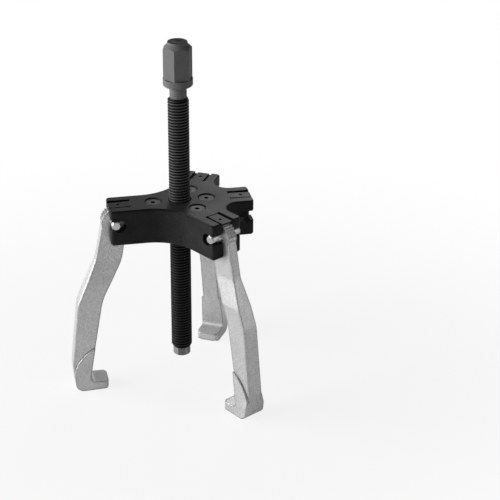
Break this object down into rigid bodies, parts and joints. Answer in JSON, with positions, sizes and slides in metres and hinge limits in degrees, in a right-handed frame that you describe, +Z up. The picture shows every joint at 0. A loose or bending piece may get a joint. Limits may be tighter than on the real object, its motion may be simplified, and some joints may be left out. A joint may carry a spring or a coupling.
{
  "type": "ratcheting jaw puller",
  "caption": "Mechanical puller: slotted star yoke with a sprung ratchet plate, hooked jaws swinging on hook-in pins, and a threaded hex-head spindle with a swivel tip.",
  "frame": {"origin": "centre of the pressure tip's end face, with the jaws and the spindle as in the picture", "axes": "+Z up along the spindle towards its hexagon; the free arm of the yoke along +X and the left jaw's arm along -X; the other two jaws at 60 degrees either side of +X"},
  "size_m": [0.1235, 0.1382, 0.2437],
  "materials": {
    "yoke_black": "matt black forged and coated steel",
    "plate_black": "matt black spring sheet",
    "screw_grey": "dark grey blackened screw",
    "spindle_dark": "black burnished thread with a dark grey head",
    "bright_steel": "bright turned steel",
    "forged_satin": "satin silver forged steel"
  },
  "bodies": {
    "yoke": {"yoke_body": "yoke_black", "spring_plate": "plate_black", "plate_screw_free": "screw_grey", "plate_screw_back": "screw_grey", "plate_screw_left": "screw_grey", "plate_screw_front": "screw_grey"},
    "tip": {"pressure_tip": "bright_steel", "tip_ball": "bright_steel", "tip_retaining_ring": "bright_steel"},
    "spindle_rod": {"spindle": "spindle_dark"},
    "left_jaw": {"jaw_left": "forged_satin", "jaw_pin_left": "bright_steel"},
    "front_jaw": {"jaw_front": "forged_satin", "jaw_pin_front": "bright_steel"},
    "back_jaw": {"jaw_back": "forged_satin", "jaw_pin_back": "bright_steel"}
  },
  "joints": [
    {"name": "spindle_feed", "type": "slide", "parent": "yoke", "child": "tip", "axis": [0, 0, 1], "range_m": [-0.07, 0.08]},
    {"name": "spindle_turn", "type": "hinge", "parent": "tip", "child": "spindle_rod", "pos_m": [0, 0, 0.0059], "axis": [0, 0, 1], "range_deg": [-12610, 14410]},
    {"name": "left_jaw_swing", "type": "hinge", "parent": "yoke", "child": "left_jaw", "pos_m": [-0.0441, 0, 0.1049], "axis": [0, 1, 0], "range_deg": [-18, 32]},
    {"name": "front_jaw_swing", "type": "hinge", "parent": "yoke", "child": "front_jaw", "pos_m": [0.02205, -0.03819, 0.1049], "axis": [-0.866, -0.5, 0], "range_deg": [-18, 32]},
    {"name": "back_jaw_swing", "type": "hinge", "parent": "yoke", "child": "back_jaw", "pos_m": [0.02205, 0.03819, 0.1049], "axis": [0.866, -0.5, 0], "range_deg": [-18, 32]}
  ],
  "couplings": [
    {"joint": "spindle_turn", "follows": "spindle_feed", "rad_per_m": 3141.6}
  ]
}
